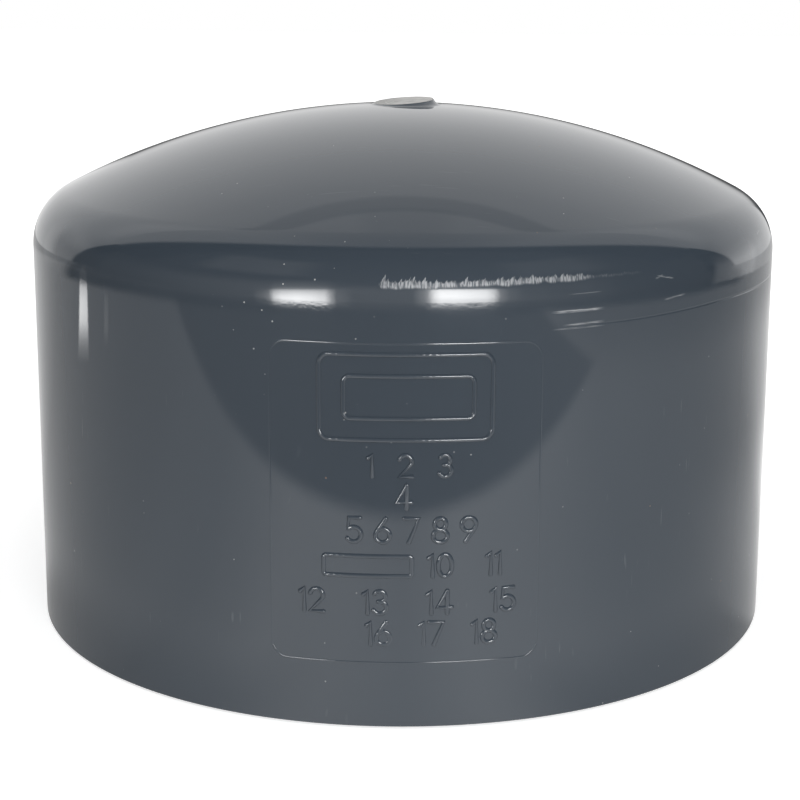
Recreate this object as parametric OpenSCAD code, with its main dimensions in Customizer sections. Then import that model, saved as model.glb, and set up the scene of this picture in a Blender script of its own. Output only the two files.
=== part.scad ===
// A domed cap that closes the end of a nominal 6 inch pressure pipe.
// It is one injection-moulded piece: a tapered socket below, a domed crown above,
// and the cut stub of the sprue at the middle of the crown.
// The mouth's rim lies on the XY plane, the socket opens downward, and +Z is the pipe's axis.
// Lengths are in millimetres and angles in degrees.

/* [Socket] */
// Bore of the socket where the pipe enters
socket_entry_d = 168.83; // [168.4:0.01:169.4]
// Bore of the socket beside the pipe stop
socket_root_d = 168.00; // [167.4:0.01:168.3]
// Depth from the mouth's rim to the pipe stop
socket_depth = 77.5; // [70:0.5:84]
// Length of the straight land at each end of the socket's taper
socket_land = 8; // [3:0.5:20]
// Width and height of the lead-in chamfer inside the mouth
lead_in = 1.2; // [0.4:0.1:2.5]
// Width of the ledge that the pipe's end meets
stop_width = 4; // [2:0.5:6]

/* [Hub] */
// Outside diameter at the mouth's rim
hub_d = 183.4; // [182.6:0.1:192]
// Lean of the outside wall towards the axis, so that it leaves the mould
hub_draft = 0.4; // [0:0.05:1]
// Width and height of the break on the rim's outside edge
rim_break = 0.4; // [0.2:0.1:1]

/* [Crown] */
// Height of the dome's top above the mouth's rim
crown_height = 124.7; // [119:0.1:135]
// Radius of the dome's outside
crown_r = 183; // [160:1:240]
// Radius of the shoulder that joins the wall to the dome
shoulder_r = 14.5; // [8:0.5:20]
// Thickness of the dome
crown_wall = 9; // [8.9:0.1:13]
// Radius of the corner between the chamber's wall and the inside of the dome
chamber_corner_r = 6; // [3:0.5:12]

/* [Sprue stub] */
// Diameter of the sprue above its flare
stub_d = 13.2; // [8:0.2:20]
// Radius of the flare that joins the stub to the dome
stub_flare_r = 2.6; // [0.5:0.1:3]
// Height of the cut face above the dome's top, on the axis
stub_rise = 0.8; // [0.75:0.05:4]
// Slant of the cut face
stub_slant = 5; // [0:0.5:5]
// Turn about the axis of the direction in which the cut face rises, counted from +X towards +Y
stub_turn = 35; // [0:5:355]

/* [Smoothness] */
// Sides of a full circle
$fn = 240; // [96:24:360]

/* [Hidden] */

hub_r = hub_d / 2;
socket_entry_r = socket_entry_d / 2;
socket_root_r = socket_root_d / 2;
chamber_r = socket_root_r - stop_width;
stub_r = stub_d / 2;
// Room past a face that a cutting shape starts beyond
clear = 1;
// Extra radius that makes a blending circle cross the lines that it blends, and not only touch them
blend_overlap = 0.0005;
pvc_grey = [0.27, 0.31, 0.36];

// Unit vector at an angle from the plane's first axis
function towards(angle) = [cos(angle), sin(angle)];

// Angle at the dome's centre between the axis and the point where the corner meets the dome.
// The corner's centre lies corner_r inside both the dome and the leaning wall, which fixes it.
function dome_half_angle(wall_r, height, dome_r, corner_r, draft) =
    asin((wall_r * cos(draft) - corner_r - (height - dome_r) * sin(draft)) / (dome_r - corner_r)) - draft;

// Half-section of a domed plug, in (radius, height), standing on height 0.
// The wall starts at wall_r and leans in by draft, and wall, corner and dome meet tangentially.
module domed_plug(wall_r, height, dome_r, corner_r, draft = 0) {
    half_angle = dome_half_angle(wall_r, height, dome_r, corner_r, draft);
    // These points are measured from the dome's top
    dome_centre = [0, -dome_r];
    corner_centre = dome_centre + (dome_r - corner_r) * towards(90 - half_angle);
    wall_top = corner_centre + corner_r * towards(draft);
    translate([0, height]) {
        polygon([[0, -height], [wall_r, -height], wall_top, corner_centre, [0, corner_centre.y]]);
        translate(corner_centre) circle(r = corner_r + blend_overlap);
        intersection() {
            translate(dome_centre) circle(r = dome_r);
            translate([0, -height]) square([dome_r * sin(half_angle), height + clear]);
        }
    }
}

// Half-section of the sprue's stub, uncut, with the flare that runs out tangentially on the dome
module stub_profile() {
    flare_angle = asin((stub_r + stub_flare_r) / (crown_r + stub_flare_r));
    // These points are measured from the dome's top
    dome_centre = [0, -crown_r];
    foot = dome_centre + crown_r * towards(90 - flare_angle);
    flare_centre = dome_centre + (crown_r + stub_flare_r) * towards(90 - flare_angle);
    uncut_top = stub_flare_r + stub_rise + stub_r * tan(stub_slant);
    translate([0, crown_height]) difference() {
        polygon([
            [0, -crown_wall / 2],
            [foot.x, -crown_wall / 2],
            foot,
            flare_centre,
            [stub_r, flare_centre.y],
            [stub_r, uncut_top],
            [0, uncut_top]
        ]);
        translate(flare_centre) circle(r = stub_flare_r + blend_overlap);
    }
}

// Half-section of the socket: lead-in, straight land, long taper, straight land, flat stop
module socket_profile() {
    polygon([
        [0, -clear],
        [socket_entry_r + lead_in + clear, -clear],
        [socket_entry_r, lead_in],
        [socket_entry_r, lead_in + socket_land],
        [socket_root_r, socket_depth - socket_land],
        [socket_root_r, socket_depth],
        [0, socket_depth]
    ]);
}

// Corner taken off the rim's outside edge
module rim_break_profile() {
    polygon([
        [hub_r - rim_break - clear, -clear],
        [hub_r + clear, -clear],
        [hub_r + clear, rim_break + clear]
    ]);
}

// Half-section of the whole moulding
module cap_section() {
    difference() {
        union() {
            domed_plug(hub_r, crown_height, crown_r, shoulder_r, hub_draft);
            stub_profile();
        }
        socket_profile();
        domed_plug(chamber_r, crown_height - crown_wall, crown_r - crown_wall, chamber_corner_r);
        rim_break_profile();
    }
}

// Everything that the cutter took off the sprue, above its slanted face
module cut_off_sprue() {
    reach = 2 * stub_d;
    translate([0, 0, crown_height + stub_rise])
        rotate([0, -stub_slant, stub_turn])
            translate([-reach / 2, -reach / 2, 0])
                cube([reach, reach, stub_d]);
}

// The moulding, turned about its axis and trimmed at the sprue
module cap_body() {
    color(pvc_grey)
        difference() {
            rotate_extrude() cap_section();
            cut_off_sprue();
        }
}

cap_body();
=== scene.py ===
"""Looks of a moulded grey socket cap: its skin, bore, sprue stub and raised wall marks."""

import logging
import math
from dataclasses import dataclass
from enum import Enum
from typing import Sequence

import bmesh
import bpy
from mathutils import Matrix, Vector

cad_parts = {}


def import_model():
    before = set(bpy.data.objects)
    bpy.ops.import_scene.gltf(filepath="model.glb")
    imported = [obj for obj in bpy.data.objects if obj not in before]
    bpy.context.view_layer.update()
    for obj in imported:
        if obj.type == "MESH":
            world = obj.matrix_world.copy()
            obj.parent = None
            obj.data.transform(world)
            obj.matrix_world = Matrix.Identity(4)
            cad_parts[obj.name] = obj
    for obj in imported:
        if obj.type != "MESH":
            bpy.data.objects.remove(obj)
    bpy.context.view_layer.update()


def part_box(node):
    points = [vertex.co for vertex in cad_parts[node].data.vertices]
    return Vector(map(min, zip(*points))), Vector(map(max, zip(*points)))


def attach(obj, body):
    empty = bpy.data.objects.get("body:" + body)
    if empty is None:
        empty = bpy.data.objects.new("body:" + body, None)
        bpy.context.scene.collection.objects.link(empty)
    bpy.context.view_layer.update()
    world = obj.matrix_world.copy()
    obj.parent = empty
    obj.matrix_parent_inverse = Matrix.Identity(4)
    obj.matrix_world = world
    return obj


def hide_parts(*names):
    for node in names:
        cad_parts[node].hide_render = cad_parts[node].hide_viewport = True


LOG = logging.getLogger("pipe_cap")
BODY = "root"
SHARP = math.radians(28)

# Where vertices stand along a straight run: close to both ends, so that its corners stay crisp.
CRISP_RUN = (0.003, 0.5, 0.997, 1.0)
WALL_RUN = (0.002, 0.004, 0.25, 0.5, 0.75, 0.996, 0.998, 1.0)

Point = tuple[float, float]
Place = tuple[float, float, float]
Colour = tuple[float, float, float]
Socket = bpy.types.NodeSocket
Value = bpy.types.NodeSocket | float | Sequence[float]


class Region(Enum):
    """The face groups of the moulding, numbered as its material slots."""

    SKIN = 0
    BORE = 1
    CUT = 2


# --------------------------------------------------------------------------- helpers


def millimetres(value: float) -> float:
    """Returns a size in metres for one given in millimetres."""
    return value / 1000.0


def link_mesh(name: str, bm: bmesh.types.BMesh) -> bpy.types.Object:
    """Turns a bmesh into a linked object with smooth faces.

    Args:
        name: The name of the object and of its mesh.
        bm: The finished shape, which this call frees.

    Returns:
        The new object, at the origin.
    """
    mesh = bpy.data.meshes.new(name)
    bm.to_mesh(mesh)
    bm.free()
    mesh.shade_smooth()
    mesh.set_sharp_from_angle(angle=SHARP)
    made = bpy.data.objects.new(name, mesh)
    bpy.context.scene.collection.objects.link(made)
    return made


class HalfSection:
    """Draws a half section as one chain of edges in the XZ plane."""

    def __init__(self, bm: bmesh.types.BMesh, radius: float, height: float) -> None:
        """Puts the pen down.

        Args:
            bm: The bmesh that the chain is drawn in.
            radius: The first point's distance from the axis.
            height: The first point's height.
        """
        self.bm = bm
        self.tip = bm.verts.new((radius, 0.0, height))

    def line(self, radius: float, height: float, shares: Sequence[float] = (1.0,)) -> "HalfSection":
        """Draws a straight run to a point.

        Args:
            radius: The end's distance from the axis.
            height: The end's height.
            shares: Where along the run a vertex stands, ending with 1.

        Returns:
            The pen itself.
        """
        start = self.tip.co.copy()
        way = Vector((radius, 0.0, height)) - start
        for share in shares:
            grown = bmesh.ops.extrude_vert_indiv(self.bm, verts=[self.tip])
            self.tip = grown["verts"][0]
            self.tip.co = start + way * share
        return self

    def arc(self, radius: float, height: float, degrees: float, steps: int) -> "HalfSection":
        """Draws an arc round a centre.

        Args:
            radius: The centre's distance from the axis.
            height: The centre's height.
            degrees: The turn, positive from the wall towards the mouth.
            steps: How many edges the arc has.

        Returns:
            The pen itself.
        """
        turned = bmesh.ops.spin(
            self.bm,
            geom=[self.tip],
            cent=(radius, 0.0, height),
            axis=(0.0, 1.0, 0.0),
            angle=math.radians(degrees),
            steps=steps,
        )
        self.tip = next(e for e in turned["geom_last"] if isinstance(e, bmesh.types.BMVert))
        return self


class Wiring:
    """Adds nodes to one tree and links them as they are made."""

    def __init__(self, tree: bpy.types.NodeTree) -> None:
        """Keeps the tree.

        Args:
            tree: The node tree that the nodes go into.
        """
        self.tree = tree

    def plug(self, target: Socket, value: Value) -> None:
        """Links a socket to a target, or sets a plain value on it.

        Args:
            target: The input.
            value: A socket or a plain value.
        """
        if isinstance(value, Socket):
            self.tree.links.new(value, target)
        else:
            target.default_value = value

    def node(self, kind: str, inputs: dict[str | int, Value] | None = None, **settings: object) -> bpy.types.Node:
        """Makes one node.

        Args:
            kind: The node's type name.
            inputs: Values or sockets, by the name or number of the input.
            settings: Attributes of the node.

        Returns:
            The node.
        """
        made = self.tree.nodes.new(kind)
        for name, value in settings.items():
            setattr(made, name, value)
        for name, value in (inputs or {}).items():
            self.plug(made.inputs[name], value)
        return made

    def math(self, operation: str, *values: Value) -> Socket:
        """Joins values two by two with one operation.

        Args:
            operation: The Math node's operation.
            values: One value, or as many as are joined.

        Returns:
            The result's socket.
        """
        made = self.node("ShaderNodeMath", {0: values[0]}, operation=operation)
        if len(values) > 1:
            self.plug(made.inputs[1], values[1])
        return self.math(operation, made.outputs[0], *values[2:]) if len(values) > 2 else made.outputs[0]

    def times(self, *values: Value) -> Socket:
        """Returns the product of all the values."""
        return self.math("MULTIPLY", *values)

    def plus(self, *values: Value) -> Socket:
        """Returns the sum of all the values."""
        return self.math("ADD", *values)

    def minus(self, *values: Value) -> Socket:
        """Returns the first value less all the others."""
        return self.math("SUBTRACT", *values)

    def reach(self, x: Value, y: Value) -> Socket:
        """Returns how far a flat point is from the origin."""
        return self.math("SQRT", self.plus(self.times(x, x), self.times(y, y)))

    def bearing(self, x: Value, y: Value) -> Socket:
        """Returns a flat point's azimuth in radians; 0 is the front and it grows to the right."""
        return self.math("ARCTAN2", x, self.times(y, -1.0))

    def split(self, vector: Value) -> Sequence[Socket]:
        """Returns a vector's X, Y and Z."""
        return self.node("ShaderNodeSeparateXYZ", {0: vector}).outputs

    def glow(self, level: Value) -> Socket:
        """Returns a white glow of a level."""
        return self.node("ShaderNodeEmission", {"Strength": level}).outputs[0]

    def either(self, share: Value, first: Value, second: Value) -> Socket:
        """Returns the second shader at a share of 1 and the first at 0."""
        return self.node("ShaderNodeMixShader", {0: share, 1: first, 2: second}).outputs[0]

    def surface(self, shader: Socket) -> None:
        """Ends a material's tree with a shader."""
        self.node("ShaderNodeOutputMaterial", {"Surface": shader})

    def ease(self, value: Value, start: float, end: float, low: float = 0.0, high: float = 1.0) -> Socket:
        """Steps a value softly.

        Args:
            value: The value that is stepped.
            start: Where the step starts.
            end: Where it ends.
            low: The result at the start.
            high: The result at the end.

        Returns:
            The result's socket.
        """
        inputs = {0: value, 1: start, 2: end, 3: low, 4: high}
        return self.node("ShaderNodeMapRange", inputs, interpolation_type="SMOOTHSTEP").outputs[0]

    def window(self, value: Value, start: float, end: float, edge: float) -> Socket:
        """Opens a window of 1 between two values.

        Args:
            value: The value that is tested.
            start: Where the window starts.
            end: Where it ends.
            edge: How far outside it the result falls to 0.

        Returns:
            The result's socket.
        """
        return self.times(self.ease(value, start - edge, start), self.ease(value, end, end + edge, 1.0, 0.0))

    def ramp(self, value: Value, stops: Sequence[Point]) -> Socket:
        """Looks a value up along straight runs between stops.

        Args:
            value: The value that is looked up.
            stops: Values in rising order, each with its result.

        Returns:
            The result's socket.
        """
        start, end = stops[0][0], stops[-1][0]
        top = max(result for _, result in stops)
        share = self.node("ShaderNodeMapRange", {0: value, 1: start, 2: end}).outputs[0]
        made = self.node("ShaderNodeValToRGB", {0: share})
        while len(made.color_ramp.elements) < len(stops):
            made.color_ramp.elements.new(0.5)
        for element, (position, result) in zip(made.color_ramp.elements, stops):
            element.position = (position - start) / (end - start)
            element.color = (result / top,) * 3 + (1.0,)
        return self.times(made.outputs[0], top)

    def place(self, vector: Value, turn: Sequence[float] = (0, 0, 0), scale: Sequence[float] = (1, 1, 1)) -> Socket:
        """Turns and scales a vector.

        Args:
            vector: The vector.
            turn: Its turn about X, Y and Z, in radians.
            scale: Its scale along each axis.

        Returns:
            The result's socket.
        """
        return self.node("ShaderNodeMapping", {"Vector": vector, "Rotation": turn, "Scale": scale}).outputs[0]

    def flat(self, x: Value, y: Value = 0.37) -> Socket:
        """Makes a vector of two values.

        Args:
            x: The first value.
            y: The second value.

        Returns:
            The vector's socket.
        """
        return self.node("ShaderNodeCombineXYZ", {0: x, 1: y}).outputs[0]

    def noise(self, vector: Value, scale: float, detail: float = 2.0) -> Socket:
        """Reads a Noise texture.

        Args:
            vector: Where it is read.
            scale: Its scale.
            detail: Its detail.

        Returns:
            The value's socket.
        """
        return self.node("ShaderNodeTexNoise", {"Vector": vector, "Scale": scale, "Detail": detail}).outputs[0]

    def blend(self, factor: Value, first: Value, second: Value) -> Socket:
        """Mixes two colours.

        Args:
            factor: The share of the second.
            first: The first colour.
            second: The second colour.

        Returns:
            The colour's socket.
        """
        made = self.node("ShaderNodeMix", data_type="RGBA")
        self.plug(made.inputs["Factor"], factor)
        colours = [s for s in made.inputs if s.type == "RGBA"]
        self.plug(colours[0], first)
        self.plug(colours[1], second)
        return next(s for s in made.outputs if s.type == "RGBA")

    def group(self, tree: bpy.types.NodeTree, inputs: dict[str, Value]) -> bpy.types.Node:
        """Places a node group.

        Args:
            tree: The group.
            inputs: Its own values, by name.

        Returns:
            The group's node.
        """
        made = self.node("ShaderNodeGroup", node_tree=tree)
        for name, value in inputs.items():
            self.plug(made.inputs[name], value)
        return made

    def object_point(self) -> Socket:
        """Returns the point on the object, in its own coordinates."""
        return self.node("ShaderNodeTexCoord").outputs["Object"]

    def along(self, start: Point, end: Point, x: Value, y: Value) -> tuple[Socket, Socket]:
        """Measures a flat point along and across a line.

        Args:
            start: The line's start.
            end: Its end.
            x: The point's first value.
            y: The point's second value.

        Returns:
            The length along the line and the distance across it.
        """
        length = math.dist(start, end)
        u, v = (end[0] - start[0]) / length, (end[1] - start[1]) / length
        east, north = self.minus(x, start[0]), self.minus(y, start[1])
        run = self.plus(self.times(east, u), self.times(north, v))
        off = self.minus(self.times(north, u), self.times(east, v))
        return run, self.math("ABSOLUTE", off)


def rgba(colour: Colour) -> tuple[float, float, float, float]:
    """Returns a colour with full alpha."""
    return (*colour, 1.0)


def new_material(name: str) -> tuple[bpy.types.Material, Wiring]:
    """Makes a material with an empty tree.

    Args:
        name: The material's name.

    Returns:
        The material and the wiring of its tree.
    """
    made = bpy.data.materials.new(name)
    made.use_nodes = True
    made.node_tree.nodes.clear()
    return made, Wiring(made.node_tree)


def plastic(w: Wiring, base: Value, roughness: Value, relief: Value) -> None:
    """Ends a tree with the glossy plastic that every finish shares.

    Args:
        w: The wiring of the material.
        base: The colour.
        roughness: The roughness.
        relief: The height of the fine relief, in metres.
    """
    bump = w.node("ShaderNodeBump", {"Height": relief, "Strength": 1.0, "Distance": 1.0}).outputs[0]
    inputs = {"Base Color": base, "Roughness": roughness, "Normal": bump, "IOR": 1.5}
    w.surface(w.node("ShaderNodeBsdfPrincipled", inputs).outputs[0])


# --------------------------------------------------------------------- shader groups


class EffectKit:
    """The shader node groups that the finishes share, each built once."""

    def __init__(self, wall_radius: float) -> None:
        """Builds every group.

        Args:
            wall_radius: The radius that arc lengths on the wall are measured at.
        """
        self.wall_radius = wall_radius
        self.chart = self._chart()
        self.peel = self._peel()
        self.scratches = self._scratches()
        self.specks = self._specks()

    @staticmethod
    def _open(
        name: str, inputs: dict[str, float], outputs: Sequence[str]
    ) -> tuple[bpy.types.NodeTree, Wiring, bpy.types.Node, bpy.types.Node]:
        """Makes an empty group.

        Args:
            name: The group's name.
            inputs: Each input's name and plain value; one named Vector is a vector.
            outputs: The names of the outputs.

        Returns:
            The tree, its wiring, its input node and its output node.
        """
        tree = bpy.data.node_groups.new(name, "ShaderNodeTree")
        for key, value in inputs.items():
            kind = "NodeSocketVector" if key == "Vector" else "NodeSocketFloat"
            made = tree.interface.new_socket(key, in_out="INPUT", socket_type=kind)
            if key != "Vector":
                made.default_value = value
        for key in outputs:
            tree.interface.new_socket(key, in_out="OUTPUT", socket_type="NodeSocketFloat")
        wiring = Wiring(tree)
        return tree, wiring, wiring.node("NodeGroupInput"), wiring.node("NodeGroupOutput")

    def _chart(self) -> bpy.types.NodeTree:
        """Builds the chart of the wall: arc length from the front, height and radius.

        Returns:
            The group.
        """
        tree, w, given, result = self._open("wall_chart", {"Vector": 0.0}, ("Arc", "Height", "Radius"))
        x, y, z = w.split(given.outputs["Vector"])
        w.plug(result.inputs["Arc"], w.times(w.bearing(x, y), self.wall_radius))
        w.plug(result.inputs["Height"], z)
        w.plug(result.inputs["Radius"], w.reach(x, y))
        return tree

    def _peel(self) -> bpy.types.NodeTree:
        """Builds the moulded surface's waviness, a height in metres.

        Returns:
            The group.
        """
        tree, w, given, result = self._open("orange_peel", {"Vector": 0.0, "Wave": 4e-6, "Grain": 1.5e-6}, ("Height",))
        vector = given.outputs["Vector"]
        wave = w.times(w.noise(vector, 95.0, 1.0), given.outputs["Wave"])
        grain = w.times(w.noise(vector, 1300.0, 1.0), given.outputs["Grain"])
        w.plug(result.inputs["Height"], w.plus(wave, grain))
        return tree

    def _scratches(self) -> bpy.types.NodeTree:
        """Builds sparse hair scratches in three directions, a mask from 0 to 1.

        Returns:
            The group.
        """
        tree, w, given, result = self._open("hair_scratches", {"Vector": 0.0, "Amount": 0.5}, ("Mask",))
        vector = given.outputs["Vector"]
        runs = []
        for turn in (0.4, -0.9, 1.35):
            laid = w.place(vector, (turn, turn * 0.6, turn), (90.0, 2600.0, 120.0))
            runs.append(w.ease(w.noise(laid, 1.0, 0.0), 0.80, 0.86))
        gate = w.ease(w.noise(vector, 60.0, 1.0), 0.54, 0.66)
        lines = w.math("MAXIMUM", *runs)
        w.plug(result.inputs["Mask"], w.times(lines, gate, given.outputs["Amount"]))
        return tree

    def _specks(self) -> bpy.types.NodeTree:
        """Builds loose dust specks, a mask and a value that differs from speck to speck.

        Returns:
            The group.
        """
        tree, w, given, result = self._open(
            "dust_specks", {"Vector": 0.0, "Scale": 260.0, "Size": 0.06, "Share": 0.3}, ("Mask", "Kind")
        )
        inputs = {key: given.outputs[key] for key in ("Vector", "Scale")}
        cells = w.node("ShaderNodeTexVoronoi", inputs)
        near = w.math("LESS_THAN", cells.outputs["Distance"], given.outputs["Size"])
        kinds = w.node("ShaderNodeSeparateColor", {0: cells.outputs["Color"]})
        chosen = w.math("LESS_THAN", kinds.outputs[0], given.outputs["Share"])
        w.plug(result.inputs["Mask"], w.times(near, chosen))
        w.plug(result.inputs["Kind"], kinds.outputs[1])
        return tree


# -------------------------------------------------------------------------- finishes


@dataclass(frozen=True)
class Streak:
    """One scuff drawn across the wall, by the arc and height of its two ends."""

    start: Point
    end: Point
    width: float
    strength: float


@dataclass(frozen=True)
class SkinFinish:
    """Glossy grey skin with orange peel, a witness ring, handling scuffs and dust."""

    colour: Colour = (0.0515, 0.0670, 0.0858)
    shade: Colour = (0.0470, 0.0610, 0.0782)
    scuffed: Colour = (0.34, 0.355, 0.37)
    dust: Colour = (0.42, 0.43, 0.43)
    rust: Colour = (0.42, 0.22, 0.10)
    roughness: float = 0.026
    hair: float = 0.12
    turning_depth: float = millimetres(0.0007)
    scuff_depth: float = millimetres(0.008)
    dust_height: float = millimetres(0.04)
    ring_height: float = millimetres(86.0)
    ring_climb: float = millimetres(0.8)
    ring_depth: float = millimetres(0.032)
    band_height: float = millimetres(95.1)
    band: tuple[Point, ...] = (
        (-0.0055, 0.0), (-0.0048, 1.0), (0.0062, 1.0), (0.0074, 0.70), (0.0185, 0.74), (0.0200, 0.95),
        (0.0275, 0.9), (0.0290, 0.50), (0.0310, 0.85), (0.0380, 0.70), (0.0400, 0.30), (0.0520, 0.16), (0.0540, 0.0),
    )
    streaks: tuple[Streak, ...] = (
        Streak((0.0303, 0.08896), (0.0430, 0.08913), 0.00040, 1.0),
        Streak((0.0304, 0.08540), (0.0431, 0.08550), 0.00022, 0.55),
        Streak((0.0330, 0.08610), (0.0431, 0.08640), 0.00034, 0.70),
        Streak((0.0340, 0.09250), (0.0425, 0.09270), 0.00018, 0.30),
        Streak((0.0565, 0.09400), (0.0590, 0.09470), 0.00026, 0.45),
        Streak((0.0570, 0.09470), (0.0622, 0.09370), 0.00022, 0.65),
        Streak((0.0590, 0.08930), (0.0660, 0.08990), 0.00026, 0.50),
        Streak((0.1040, 0.09840), (0.1070, 0.09880), 0.00030, 0.50),
    )

    def material(self, kit: EffectKit) -> bpy.types.Material:
        """Builds the skin's material.

        Args:
            kit: The shared shader groups.

        Returns:
            The material.
        """
        made, w = new_material("grey_skin")
        spot = w.object_point()
        arc, height, radius = w.group(kit.chart, {"Vector": spot}).outputs
        # Scuffs and hair scratches, paler and rougher than the skin.
        hair = w.group(kit.scratches, {"Vector": spot, "Amount": self.hair}).outputs["Mask"]
        worn = w.math("MAXIMUM", self._scuffs(w, arc, height), hair)
        # Faint specks all over, and brighter lint with a few rusty crumbs where it has gathered.
        specks = w.group(kit.specks, {"Vector": spot, "Scale": 300.0, "Size": 0.055, "Share": 0.22})
        crumbs = w.group(kit.specks, {"Vector": spot, "Scale": 480.0, "Size": 0.085, "Share": 0.30})
        lint = w.times(crumbs.outputs["Mask"], self._gathered(w, arc, height))
        faint = w.times(specks.outputs["Mask"], w.ease(specks.outputs["Kind"], 0.0, 1.0, 0.05, 0.5))
        dust = w.math("MAXIMUM", faint, lint)
        # The moulded colour drifts between two close shades under all of them.
        base = w.blend(w.ease(w.noise(spot, 9.0, 3.0), 0.35, 0.65), rgba(self.shade), rgba(self.colour))
        base = w.blend(worn, base, rgba(self.scuffed))
        kind = w.math("GREATER_THAN", crumbs.outputs["Kind"], 0.85)
        base = w.blend(dust, base, w.blend(kind, rgba(self.dust), rgba(self.rust)))
        haze = w.ease(w.noise(spot, 32.0, 3.0), 0.3, 0.8, 0.0, 0.02)
        matt = w.math("MAXIMUM", w.times(worn, 0.5), w.times(dust, 0.6))
        # The mould's turning marks run round the dome, above the shoulder.
        above = w.ease(height, 0.0995, 0.1010, 0.0, self.turning_depth)
        turned = w.times(w.noise(w.flat(radius), 1500.0, 3.0), above)
        relief = w.plus(
            w.group(kit.peel, {"Vector": spot}).outputs["Height"],
            turned,
            self._ring(w, spot, arc, height),
            w.times(worn, -self.scuff_depth),
            w.times(dust, self.dust_height),
        )
        plastic(w, base, w.plus(haze, self.roughness, matt), relief)
        return made

    def _scuffs(self, w: Wiring, arc: Socket, height: Socket) -> Socket:
        """Draws the rubbed band above the front and the single streaks.

        Args:
            w: The material's wiring.
            arc: The arc length.
            height: The height.

        Returns:
            The mask's socket.
        """
        # The band's middle line wanders, and spikes that lean over reach up from it in clumps.
        amount = w.ramp(arc, self.band)
        leaning = w.plus(arc, w.times(w.minus(height, self.band_height), -0.5))
        spikes = w.math("POWER", w.noise(w.flat(leaning), 1300.0, 2.0), 3.0)
        wander = w.times(w.noise(w.flat(arc), 300.0, 2.0), 0.0010)
        middle = w.plus(wander, w.ease(arc, 0.006, 0.030, 0.0949, 0.0953))
        clumps = w.ease(w.noise(w.flat(arc, 0.4), 420.0, 1.0), 0.36, 0.60, 0.25, 1.2)
        reach = w.times(w.plus(w.times(spikes, 0.0050), 0.00015), amount, clumps)
        # What lies between the band's lower edge and the spikes' tips is scuffed, in fine slanting teeth.
        above = w.minus(height, middle)
        low = w.ease(w.plus(above, w.times(amount, 0.0007)), -0.0003, 0.0003)
        high = w.ease(w.minus(above, reach), -0.0002, 0.0003, 1.0, 0.0)
        teeth = w.noise(w.place(w.flat(arc, height), (0.0, 0.0, -0.5), (2600.0, 520.0, 1.0)), 1.0, 2.0)
        mask = w.times(
            low,
            high,
            w.ease(teeth, 0.34, 0.66, 0.2, 1.0),
            w.ease(amount, 0.0, 0.8),
            w.ease(clumps, 0.25, 0.7, 0.5, 1.0),
        )
        # Every streak is broken up along its own length.
        grain = w.ease(w.noise(w.place(w.flat(arc, height), scale=(240.0, 5200.0, 1.0)), 1.0, 2.0), 0.32, 0.6, 0.1, 1.0)
        for streak in self.streaks:
            length = math.dist(streak.start, streak.end)
            run, off = w.along(streak.start, streak.end, arc, height)
            shape = w.times(w.window(run, length * 0.25, length * 0.8, length * 0.25), streak.strength)
            side = w.ease(off, streak.width * 0.3, streak.width, 1.0, 0.0)
            mask = w.math("MAXIMUM", mask, w.times(shape, side, grain))
        return mask

    @staticmethod
    def _gathered(w: Wiring, arc: Socket, height: Socket) -> Socket:
        """Says where lint has gathered: left of the front, under the shoulder.

        Args:
            w: The material's wiring.
            arc: The arc length.
            height: The height.

        Returns:
            The mask's socket.
        """
        return w.times(w.window(arc, -0.032, -0.014, 0.010), w.window(height, 0.070, 0.090, 0.025))

    def _ring(self, w: Wiring, spot: Socket, arc: Socket, height: Socket) -> Socket:
        """Sinks the witness ring where two mould plates meet.

        Args:
            w: The material's wiring.
            spot: The point on the object.
            arc: The arc length.
            height: The height.

        Returns:
            The ring's relief, in metres.
        """
        middle = w.ease(arc, 0.043, 0.0845, self.ring_height, self.ring_height + self.ring_climb)
        line = w.ease(w.math("ABSOLUTE", w.minus(height, middle)), 0.00005, 0.00030, 1.0, 0.0)
        clear = w.window(arc, 0.048, 0.120, 0.008)
        beside = w.ease(w.math("ABSOLUTE", arc), 0.125, 0.140)
        faint = w.times(w.ease(w.noise(spot, 14.0, 1.0), 0.45, 0.7, 0.05, 0.4), beside)
        return w.times(line, w.math("MAXIMUM", clear, faint), -self.ring_depth)


@dataclass(frozen=True)
class BoreFinish:
    """Satin inside with faint draw marks and settled dust."""

    colour: Colour = (0.0515, 0.0670, 0.0858)
    pale: Colour = (0.075, 0.090, 0.108)
    dust: Colour = (0.40, 0.40, 0.38)
    roughness: float = 0.22

    def material(self, kit: EffectKit) -> bpy.types.Material:
        """Builds the bore's material.

        Args:
            kit: The shared shader groups.

        Returns:
            The material.
        """
        made, w = new_material("satin_bore")
        spot = w.object_point()
        arc, height, _ = w.group(kit.chart, {"Vector": spot}).outputs
        # Draw marks run straight up the bore, and it is paler at the mouth and in patches.
        lines = w.noise(w.place(w.flat(arc, height), scale=(900.0, 12.0, 1.0)), 1.0, 3.0)
        mouth = w.ease(height, 0.002, 0.030, 0.5, 0.0)
        pale = w.times(w.plus(w.ease(w.noise(spot, 22.0, 4.0), 0.4, 0.75), mouth), 0.6)
        specks = w.group(kit.specks, {"Vector": spot, "Scale": 300.0, "Size": 0.06, "Share": 0.25})
        base = w.blend(pale, rgba(self.colour), rgba(self.pale))
        base = w.blend(w.times(specks.outputs["Mask"], 0.4), base, rgba(self.dust))
        peel = w.group(kit.peel, {"Vector": spot, "Wave": 6e-6, "Grain": 1.5e-6}).outputs["Height"]
        relief = w.plus(peel, w.times(lines, 2.5e-6))
        plastic(w, base, w.plus(w.times(lines, 0.12), self.roughness), relief)
        return made


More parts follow.
